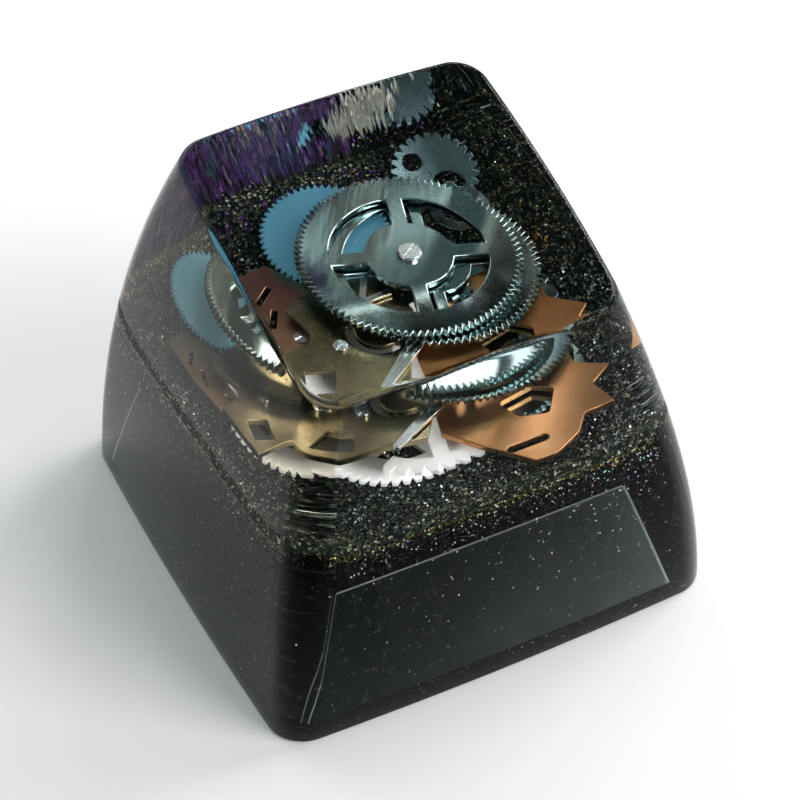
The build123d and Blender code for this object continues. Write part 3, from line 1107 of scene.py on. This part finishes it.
@dataclass
class GranuleBed:
    """Bed of granules between the pours: a packed ground and coarse granules on it."""

    form: CapForm
    tray: Tray
    thickness: float = 0.45
    skin: float = 0.006
    count: int = 24000
    low_size: float = 0.035
    high_size: float = 0.08
    flat: float = 0.8
    lift: float = 0.25
    border: float = 0.16
    disc_rings: int = 30
    disc_hub: float = 0.05
    side_rings: int = 4
    seed: int = 11
    tries: int = 3

    def ground(self, at: Stations) -> bpy.types.Object:
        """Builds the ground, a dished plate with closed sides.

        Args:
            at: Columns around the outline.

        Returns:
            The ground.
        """
        high = self.tray.wall_rise(self.form, at)
        low = self.tray.wall_rise(self.form, at, self.thickness)
        side = self.form.rings(low, high, np.linspace(0, 1, self.side_rings), at, self.skin)
        shares = np.linspace(self.disc_hub, 1, self.disc_rings)[:-1]
        under = self.tray.disc(side[0], shares, self.thickness)
        over = self.tray.disc(side[-1], shares[::-1], 0.0)
        rings = under + side + over
        floor = self.tray.floor
        points = skin_points(np.array([0, 0, floor - self.thickness]), rings, np.array([0, 0, floor]))
        faces = ring_faces(len(rings), at.count)
        return make_piece("granule_ground", points, faces, [BedGround().material()])

    def tints(self, rng: np.random.Generator, x: np.ndarray, y: np.ndarray) -> np.ndarray:
        """Colour of each granule: a dark mix, with more of some colours in places.

        The back right is warm and the front has a little gold. A strip along the back wall is
        purple, the front right is silver, and there is a nest of amber at the right wall.

        Args:
            rng: Source of random numbers.
            x: Places across.
            y: Places along.

        Returns:
            One colour for each granule.
        """
        weight = np.tile(GRANULE_SHARES, (len(x), 1))
        warm = fade(x, 3.0, 2.5) * fade(y, -1.0, 3.0)
        strip = fade(y, 6.5, 0.2) * fade(-x, -5.6, 2.0)
        silver = fade(x, 3.2, 3.0) * fade(-y, -1.5, 4.0)
        front = fade(-y, 5.0, 2.0)
        nest = np.exp(-((x - 6.2) ** 2 + (y - 1.8) ** 2) / 0.25)
        for colour, amount, where in (
            (Granule.OLIVE, 0.12, warm),
            (Granule.GOLD, 0.18, warm),
            (Granule.PURPLE, 0.5, strip),
            (Granule.AMBER, 0.04, strip),
            (Granule.SILVER, 0.45, silver),
            (Granule.OLIVE, 0.12, front),
            (Granule.GOLD, 0.12, front),
            (Granule.AMBER, 2.5, nest),
        ):
            weight[:, colour] += amount * where
        return pick_colours(rng, GRANULE_COLOURS, weight, 0.6, 1.3)

    def build(self, at: Stations) -> list[bpy.types.Object]:
        """Builds and dresses the ground and the coarse granules.

        Args:
            at: Columns around the outline.

        Returns:
            The two pieces.
        """
        ground = self.ground(at)
        seat(ground, "granules", "glitter_layer")
        rng = np.random.default_rng(self.seed)
        reach = self.form.base_half
        tries = rng.uniform(-reach, reach, (self.tries * self.count, 2))
        z = self.tray.height(tries[:, 0], tries[:, 1])
        inside = self.inside(tries[:, 0], tries[:, 1], z)
        x, y = tries[inside][: self.count].T
        z = z[inside][: self.count]
        size = rng.uniform(self.low_size, self.high_size, len(x))
        centres = np.stack([x, y, z + self.lift * size], axis=-1)
        tints = self.tints(rng, x, y)
        finish = GlitterFinish("granule_metal")
        crumbs = Scatter(seed=self.seed + 1).build("granules", centres, size, self.flat, tints, finish)
        seat(crumbs, "granules")
        return [ground, crumbs]

    def inside(self, x: np.ndarray, y: np.ndarray, z: np.ndarray) -> np.ndarray:
        """Whether places lie inside the wall by more than the border.

        Args:
            x: Places across.
            y: Places along.
            z: Heights.

        Returns:
            True for each place inside.
        """
        form = self.form
        rise = z / (form.height + y * math.tan(form.slant))
        corner = form.base_corner
        out_x = np.abs(x) - (form.half_width(rise) - self.border - form.bow - corner)
        out_y = np.abs(y - form.shift * rise) - (form.half_length(rise) - self.border - form.bow - corner)
        return np.hypot(np.maximum(out_x, 0), np.maximum(out_y, 0)) < corner


@dataclass
class BaseFlakes:
    """Fine glitter hung in the smoky base, close to the wall."""

    form: CapForm
    tray: Tray
    name: str
    finish: GlitterFinish
    colours: list[Colour]
    seed: int = 21
    count: int = 12000
    low_size: float = 0.014
    high_size: float = 0.034
    flat: float = 0.5
    right: float = 0.0
    shallow: float = 0.03
    deep: float = 0.16
    start: float = 0.48
    near: float = 0.45
    near_fall: float = 0.35
    far_fall: float = 1.5
    loose: float = 0.14
    lowest: float = 0.03
    lowest_again: float = 0.3
    reach: float = 9.0
    corners: float = 0.1
    colour_fall: float = 0.7
    colour_spread: float = 0.7

    def columns(self, rng: np.random.Generator, at: Stations) -> Stations:
        """Columns spread evenly along the four sides, with some around the corners.

        Args:
            rng: Source of random numbers.
            at: Columns around the outline.

        Returns:
            One column for each flake.
        """
        side = rng.integers(0, 4, self.count)
        sign = np.where(side < 2, -1.0, 1.0)
        flat = side % 2 == 0
        along = rng.uniform(-1, 1, self.count)
        even = np.stack([
            np.where(flat, along, sign), np.where(flat, sign, along),
            np.where(flat, 0.0, sign), np.where(flat, sign, 0.0),
        ])
        around = at.table[:, rng.integers(0, at.count, self.count)]
        return Stations(*np.where(rng.uniform(size=self.count) < self.corners, around, even))

    def tints(self, rng: np.random.Generator, below: np.ndarray) -> np.ndarray:
        """Colour of each flake: the first ones of the list close under the bed, the last ones below.

        Args:
            rng: Source of random numbers.
            below: Depths under the bed.

        Returns:
            One colour for each flake.
        """
        colours = np.array(self.colours)
        last = len(colours) - 1
        place = last * (1 - np.exp(-below / self.colour_fall))
        place = place + rng.normal(0, self.colour_spread, self.count)
        pick = np.clip(np.rint(place), 0, last).astype(int)
        return colours[pick] * rng.uniform(0.6, 1.25, (self.count, 1))

    def build(self, at: Stations) -> bpy.types.Object:
        """Builds and dresses the flakes: dense under the bed, thin towards the foot.

        The depth under the bed falls off exponentially, over a near or a far distance. With right
        above 0, the chance that a flake is kept grows in a straight line from left to right.

        Args:
            at: Columns around the outline.

        Returns:
            The flakes.
        """
        rng = np.random.default_rng(self.seed)
        form = self.form
        count = self.count
        columns = self.columns(rng, at)
        top = self.tray.wall_rise(form, columns, self.start)
        fall = np.where(rng.uniform(size=count) < self.near, self.near_fall, self.far_fall)
        below = rng.exponential(fall) / form.height
        loose = rng.uniform(size=count) < self.loose
        rise = np.where(loose, top * rng.uniform(self.lowest, 1, count), top - below)
        rise = np.where(rise > self.lowest, rise, top * rng.uniform(self.lowest_again, 1, count))
        depth = self.shallow + (self.deep - self.shallow) * rng.uniform(0, 1, count) ** 2
        centres = form.wall(rise, columns, depth)
        size = rng.uniform(self.low_size, self.high_size, count)
        tints = self.tints(rng, (top - rise) * form.height)
        chance = rng.uniform(-self.reach, self.reach, count)
        keep = chance < centres[:, 0] + 2 * self.reach * (1 - self.right)
        crowd = Scatter(seed=self.seed + 1)
        piece = crowd.build(self.name, centres[keep], size[keep], self.flat, tints[keep], self.finish)
        seat(piece, "smoky_resin")
        return piece


FLAKE_COLOURS = [
    (0.75, 0.68, 0.2),
    (0.36, 0.38, 0.12),
    (0.07, 0.08, 0.08),
    (0.36, 0.11, 0.42),
    (0.16, 0.05, 0.2),
]
# Tints of the sparks, which glow as painted glints.
SPARK_COLOURS = [(0.98, 0.72, 0.34), (0.95, 0.95, 0.9), (0.55, 0.9, 0.88), (0.9, 0.6, 0.95)]


class Strand(IntEnum):
    """Colours of the strands, which are painted reflections."""

    PURPLE = 0
    DEEP_PURPLE = 1
    BLACK = 2
    CREAM = 3
    TEAL = 4


STRAND_COLOURS = np.array([
    [0.22, 0.07, 0.34],
    [0.09, 0.03, 0.15],
    [0.012, 0.014, 0.02],
    [0.6, 0.52, 0.4],
    [0.06, 0.24, 0.22],
])
STRAND_SHARES = [0.4, 0.28, 0.28, 0.03, 0.01]


@dataclass
class WallStrands:
    """Short strands that stand on the inside of the back wall: painted reflections, the purple and dark ones
    of glitter streaked by the wall, the pale, cream and teal ones of the wheels.
    """

    form: CapForm
    tray: Tray
    finish: GlitterFinish
    count: int = 1900
    steps: int = 5
    inset: float = 0.04
    spread: float = 0.08
    thickness: float = 0.02
    low_width: float = 0.03
    high_width: float = 0.085
    low_length: float = 0.04
    high_length: float = 0.16
    taper: float = 0.85
    foot: float = 0.004
    top: float = 0.965
    lean: float = -2.8
    left: float = -6.4
    right: float = 1.7
    upper_right: float = 0.9
    right_height: float = 0.25
    soft: float = 0.25
    gap: float = -0.4
    gap_low: float = 0.2
    gap_high: float = 0.85
    gap_move: float = 3.0
    pale_count: int = 170
    pale_place: float = 2.15
    pale_spread: float = 2.3 / 3.6
    pale_low: float = 0.3
    pale_wide: float = 1.4
    pale_colour: Colour = (0.86, 0.84, 0.75)
    cream_place: float = -2.4
    cream_spread: float = 1.1
    teal_place: float = -4.2
    teal_spread: float = 0.5
    seed: int = 31

    def tints(self, rng: np.random.Generator, x: np.ndarray, share: np.ndarray) -> np.ndarray:
        """Colour of each strand, a painted reflection: purple and near black, with cream and teal high on
        the left.

        Cream and teal grow with the height, and fall off sideways by a bell curve.

        Args:
            rng: Source of random numbers.
            x: Places across.
            share: How high on the wall each strand stands.

        Returns:
            One colour for each strand.
        """
        cream = np.exp(-((x - self.cream_place) / self.cream_spread) ** 2) * share
        teal = np.exp(-((x - self.teal_place) / self.teal_spread) ** 2) * share
        weight = np.tile(STRAND_SHARES, (len(x), 1))
        weight[:, Strand.CREAM] += 0.3 * cream
        weight[:, Strand.TEAL] += 0.4 * teal
        return pick_colours(rng, STRAND_COLOURS, weight, 0.6, 1.4)

    def tube_faces(self) -> np.ndarray:
        """Faces of all strands: four sides for each step, and two ends.

        Returns:
            Faces over four points for each line across, strand after strand.
        """
        step = 4 * np.arange(self.steps - 1)[:, None]
        here = np.arange(4)[None, :]
        after = (here + 1) % 4
        sides = np.stack([step + here, step + 4 + here, step + 4 + after, step + after], axis=-1)
        ends = np.array([[0, 1, 2, 3], [4 * self.steps - 1 - k for k in range(4)]])
        one = np.concatenate([sides.reshape(-1, 4), ends])
        return (one[None] + 4 * self.steps * np.arange(self.count)[:, None, None]).reshape(-1, 4)

    def build(self) -> bpy.types.Object:
        """Builds and dresses the strands.

        Each is a flat tube that leans along the wall: four lines, at two places across and two
        depths, which draw together by a parabola towards both ends.

        Returns:
            The strands.
        """
        rng = np.random.default_rng(self.seed)
        form = self.form
        count = self.count
        share = rng.uniform(0, 1, count)
        right = np.where(share < self.right_height, self.right, self.upper_right)
        x = self.left + (right - self.left) * rng.uniform(0, 1, count) + rng.normal(0, self.soft, count)
        moved = (x > self.gap) & (share > self.gap_low) & (share < self.gap_high)
        x = np.where(moved, x - self.gap_move, x)
        # The first strands are pale: a painted reflection of a wheel in the back wall.
        pale = np.arange(count) < self.pale_count
        x = np.where(pale, rng.normal(self.pale_place, self.pale_spread, count), x)
        share = np.where(pale, rng.uniform(self.pale_low, 1.0, count), share)
        width = rng.uniform(self.low_width, self.high_width, count) * np.where(pale, self.pale_wide, 1.0)
        length = rng.uniform(self.low_length, self.high_length, count)
        foot = self.tray.wall_rise(form, Stations.along_back(x / form.base_half)) + self.foot
        low = foot + (self.top - length - foot) * share
        depth = self.inset + rng.uniform(0, self.spread, count)
        lines = []
        for part in np.linspace(0, 1, self.steps):
            rise = low + length * part
            half = width / 2 * (1 - self.taper * (2 * part - 1) ** 2)
            reach = form.half_width(rise) - form.base_corner
            for side, back in ((-1, 0.0), (1, 0.0), (1, self.thickness), (-1, self.thickness)):
                across = (x + self.lean * (rise - low) + side * half) / reach
                lines.append(form.wall(rise, Stations.along_back(np.clip(across, -1, 1)), depth + back))
        points = np.stack(lines, axis=1).reshape(-1, 3)
        piece = make_piece("wall_strands", points, self.tube_faces().tolist(), [self.finish.material()])
        shade = rng.uniform(0.55, 1.1, (count, 1))
        tints = np.where(pale[:, None], shade * np.array(self.pale_colour), self.tints(rng, x, share))
        paint(piece, tints, 4 * self.steps)
        seat(piece, "granules")
        return piece


@dataclass
class WatchPart:
    """A loose watch part: its solid's skin, cleaned and given polished bevels."""

    node: str
    finish: MetalFinish
    bevel: float = 0.02
    crease: float = 50.0
    merge: float = 0.0005
    flat_angle: float = 1.5
    sharp_angle: float = 32.0

    def local_places(self, points: np.ndarray) -> np.ndarray:
        """Coordinates in the part's own flat face, from its middle.

        The face is the plane of the two widest directions of the points.

        Args:
            points: Vertices in millimetres.

        Returns:
            Places across, along and off the face.
        """
        middle = (points.min(axis=0) + points.max(axis=0)) / 2
        _, _, axes = np.linalg.svd(points - points.mean(axis=0), full_matrices=False)
        return (points - middle) @ axes.T

    def bevelled(self) -> bpy.types.Mesh:
        """Mesh of the solid with bevelled edges: the first slot for its faces, the second for bevels.

        Returns:
            The mesh.
        """
        work = bmesh.new()
        work.from_mesh(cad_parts[self.node].data)
        bmesh.ops.scale(work, vec=(1 / MM,) * 3, verts=work.verts)
        bmesh.ops.remove_doubles(work, verts=work.verts, dist=self.merge)
        flat = math.radians(self.flat_angle)
        bmesh.ops.dissolve_limit(work, angle_limit=flat, verts=work.verts, edges=work.edges)
        least = math.radians(self.sharp_angle)
        sharp = [e for e in work.edges if len(e.link_faces) == 2 and e.calc_face_angle() > least]
        for face in work.faces:
            face.material_index = 0
        bmesh.ops.bevel(
            work, geom=sharp, offset=self.bevel, offset_type="OFFSET", segments=2, profile=0.5,
            affect="EDGES", clamp_overlap=False, material=1,
        )
        for face in work.faces:
            face.smooth = True
        crease = math.radians(self.crease)
        for edge in work.edges:
            slots = {face.material_index for face in edge.link_faces}
            edge.smooth = len(slots) == 1 and edge.calc_face_angle(0.0) < crease
        bmesh.ops.scale(work, vec=(MM,) * 3, verts=work.verts)
        mesh = bpy.data.meshes.new(f"{self.node}_finished")
        work.to_mesh(mesh)
        work.free()
        return mesh

    def build(self) -> bpy.types.Object:
        """Builds and dresses the part.

        Returns:
            The part.
        """
        mesh = self.bevelled()
        mesh.materials.clear()
        mesh.materials.append(self.finish.face_material())
        mesh.materials.append(self.finish.edge_material())
        points = np.empty(3 * len(mesh.vertices), np.float32)
        mesh.vertices.foreach_get("co", points)
        local = self.local_places(points.reshape(-1, 3).astype(float) / MM)
        layer = mesh.attributes.new("face_place", "FLOAT_VECTOR", "POINT")
        layer.data.foreach_set("vector", local.astype(np.float32).ravel())
        piece = add_object(f"{self.node}_finished", mesh)
        seat(piece, self.finish.slot, self.node)
        return piece


# The pale bevel colours, and the glows on the bevels, are partly painted highlights.
STEEL = MetalFinish(
    "dark_steel", (0.3, 0.41, 0.42), (0.36, 0.44, 0.43), (0.9, 0.95, 0.94), 0.11, Grain.CIRCLES,
    painted_edge_glow=0.35,
)
POLISHED = MetalFinish(
    "polished_steel", (0.62, 0.66, 0.66), (0.74, 0.76, 0.74), (0.97, 0.98, 0.98), 0.2, Grain.LINES
)
# The blued steel glows all over: painted light.
BLUED = MetalFinish(
    "blued_steel", (0.13, 0.42, 0.58), (0.15, 0.44, 0.6), (0.6, 0.8, 0.88), 0.38, Grain.MATT,
    metal=0.4, painted_glow=0.16, painted_glow_start=-1.0,
)
TEMPERED = MetalFinish(
    "blued_steel", (0.15, 0.25, 0.28), (0.2, 0.3, 0.32), (0.8, 0.9, 0.92), 0.26, Grain.MATT
)
BRASS = MetalFinish(
    "brass_plate", (0.19, 0.15, 0.075), (0.36, 0.3, 0.18), (0.85, 0.46, 0.22), 0.24, Grain.MATT,
    painted_edge_glow=0.08,
)
ROSE = MetalFinish(
    "rose_metal", (0.46, 0.25, 0.14), (0.6, 0.38, 0.22), (0.9, 0.56, 0.34), 0.3, Grain.MATT,
    painted_edge_glow=0.06,
)
COPPER = MetalFinish(
    "copper", (0.52, 0.23, 0.08), (0.64, 0.32, 0.14), (0.95, 0.6, 0.34), 0.3, Grain.MATT
)
# The silver glows towards its rim and the sector glows all over: painted light.
SILVER = MetalFinish(
    "bright_silver", (0.9, 0.9, 0.88), (0.8, 0.81, 0.8), (0.98, 0.98, 0.97), 0.45, Grain.MATT,
    metal=0.2, edge_metal=0.2, painted_glow=0.55, painted_glow_start=2.2,
)
SECTOR = replace(SILVER, painted_glow=0.35, painted_glow_start=-1.0)

WATCH_PARTS = [
    WatchPart("great_wheel", STEEL, 0.05),
    WatchPart("second_wheel", STEEL, 0.03),
    WatchPart("great_wheel_arbor", POLISHED, 0.012),
    WatchPart("blue_ratchet_wheel", BLUED),
    WatchPart("blue_crown_wheel", TEMPERED),
    WatchPart("spacer_ring", POLISHED),
    WatchPart("brass_bridge", BRASS, 0.03),
    WatchPart("bridge_screws", POLISHED, 0.01),
    WatchPart("copper_cock", ROSE, 0.03),
    WatchPart("copper_plate", COPPER, 0.03),
    WatchPart("front_wheel", SILVER),
    WatchPart("rack_sector", SECTOR),
    WatchPart("click_lever", POLISHED),
    WatchPart("v_spring", POLISHED),
    WatchPart("scalloped_wheel", STEEL),
    WatchPart("small_pinion", STEEL),
]


# Studio


@dataclass(frozen=True)
class SoftLight:
    """A soft rectangular light, in millimetres and watts."""

    name: str
    place: Place
    aim: Place
    size: tuple[float, float]
    power: float
    colour: Colour

    def hang(self) -> None:
        """Hangs the light with its face square to the line from its place to its aim."""
        data = bpy.data.lights.new(self.name, "AREA")
        data.shape = "RECTANGLE"
        data.size = self.size[0] * MM
        data.size_y = self.size[1] * MM
        data.energy = self.power
        data.color = self.colour
        light = add_object(self.name, data)
        light.location = np.array(self.place) * MM
        back = np.array(self.place, float) - np.array(self.aim, float)
        back /= np.linalg.norm(back)
        light.rotation_euler = (math.acos(back[2]), 0, math.atan2(back[0], -back[1]))


LIGHTS = [
    SoftLight("left_window", (-300, 40, 170), (0, 0, 5), (220, 260), 0.08, (0.98, 0.99, 1.0)),
    SoftLight("right_window", (330, 60, 220), (0, 0, 5), (220, 220), 1.1, (1.0, 0.99, 0.97)),
    SoftLight("back_window", (-60, 360, 240), (0, 0, 5), (360, 240), 0.7, (0.97, 0.98, 1.0)),
    SoftLight("front_key", (200, -250, 230), (0, 0, 5), (240, 160), 1.15, (1.0, 0.98, 0.95)),
    SoftLight("top_panel", (160, 10, 255), (0, 0, 8), (24, 105), 0.014, (0.87, 1.0, 0.97)),
    SoftLight("side_panel", (144, 153, 216), (0, 0, 8), (80, 80), 0.11, (1.0, 0.99, 0.94)),
]
SKY = [
    (0.0, (0.18, 0.38, 0.47)),
    (0.35, (0.15, 0.17, 0.17)),
    (0.7, (0.08, 0.125, 0.125)),
    (1.0, (0.06, 0.1, 0.1)),
]


@dataclass
class Studio:
    """Pale floor, soft lights and the camera."""

    camera_turn: float = -27.45
    camera_rise: float = 43.71
    camera_distance: float = 95.91
    target: Place = (0.63, 0.603, 5.0)
    lens: float = 115.2
    sensor: float = 36.0
    floor_half: float = 600.0
    floor_drop: float = 0.02
    floor_colour: Colour = (0.87, 0.855, 0.85)
    floor_tone: Colour = (0.89, 0.875, 0.87)
    floor_glow: float = 0.1

    def place_camera(self) -> None:
        """Sets the camera on a circle around the target, level with the horizon."""
        turn = math.radians(self.camera_turn)
        rise = math.radians(self.camera_rise)
        away = np.array([
            math.sin(turn) * math.cos(rise),
            -math.cos(turn) * math.cos(rise),
            math.sin(rise),
        ])
        data = bpy.data.cameras.new("camera")
        data.lens = self.lens
        data.sensor_width = self.sensor
        data.clip_start = 0.001
        data.clip_end = 10.0
        camera = add_object("camera", data)
        camera.location = (np.array(self.target) + self.camera_distance * away) * MM
        camera.rotation_euler = (QUARTER - rise, 0, turn)
        bpy.context.scene.camera = camera

    def lay_floor(self) -> None:
        """Lays a pale floor just under the cap."""
        surface = Surface("pale_floor")
        cloud = surface.span(surface.noise(surface.place(), 40.0), 0.0, 1.0)
        surface.set(
            Base_Color=surface.mix(cloud, self.floor_colour, self.floor_tone),
            Roughness=0.8,
            Emission_Color=(1, 1, 1),
            Emission_Strength=self.floor_glow,
        )
        half = self.floor_half
        corners = [(-half, -half), (half, -half), (half, half), (-half, half)]
        points = np.array([(*corner, -self.floor_drop) for corner in corners])
        floor = make_piece("floor", points, [[0, 1, 2, 3]], [surface.material])

    def light_room(self) -> None:
        """Fills the room with a soft sky, whose colour changes with height, and hangs the lights."""
        world = bpy.data.worlds.new("room")
        bpy.context.scene.world = world
        world.use_nodes = True
        nodes = Nodes(world.node_tree)
        sight = nodes.node("TexCoord", {}).outputs["Generated"]
        colour = nodes.ramp(nodes.split(sight)["Z"], SKY)
        sky = nodes.node("Background", {"Color": colour})
        nodes.node("OutputWorld", {"Surface": sky.outputs["Background"]})
        for light in LIGHTS:
            light.hang()

    def build(self) -> None:
        """Sets up camera, floor, light and the plain view transform."""
        self.place_camera()
        self.lay_floor()
        self.light_room()
        bpy.context.scene.view_settings.view_transform = "Standard"


def main() -> None:
    """Builds the studio, then the cap's pieces in order."""
    logging.basicConfig(level=logging.INFO, format="%(name)s %(message)s")
    form = CapForm()
    tray = Tray()
    at = Stations.around(per_side=22, per_corner=10)
    Studio().build()
    GranuleBed(form, tray).build(at)
    SmokyBase(form, tray).build(at)
    BaseFlakes(form, tray, "base_flakes", GlitterFinish("flake_glitter", 0.45, 0.1), FLAKE_COLOURS).build(at)
    # The sparks glow in their tints: painted glints, with more of them towards the right.
    BaseFlakes(
        form, tray, "base_sparks", GlitterFinish("spark_glitter_painted_glints", 0.4, 0.2, 0.7), SPARK_COLOURS,
        seed=41, count=3200, low_size=0.014, high_size=0.042, flat=0.8, right=0.8, loose=0.3,
    ).build(at)
    WallStrands(form, tray, GlitterFinish("strand_painted_reflection", 0.5, 0.3)).build()
    for part in WATCH_PARTS:
        part.build()
    ClearCrown(form, tray).build(at)


if __name__ == "__main__":
    main()
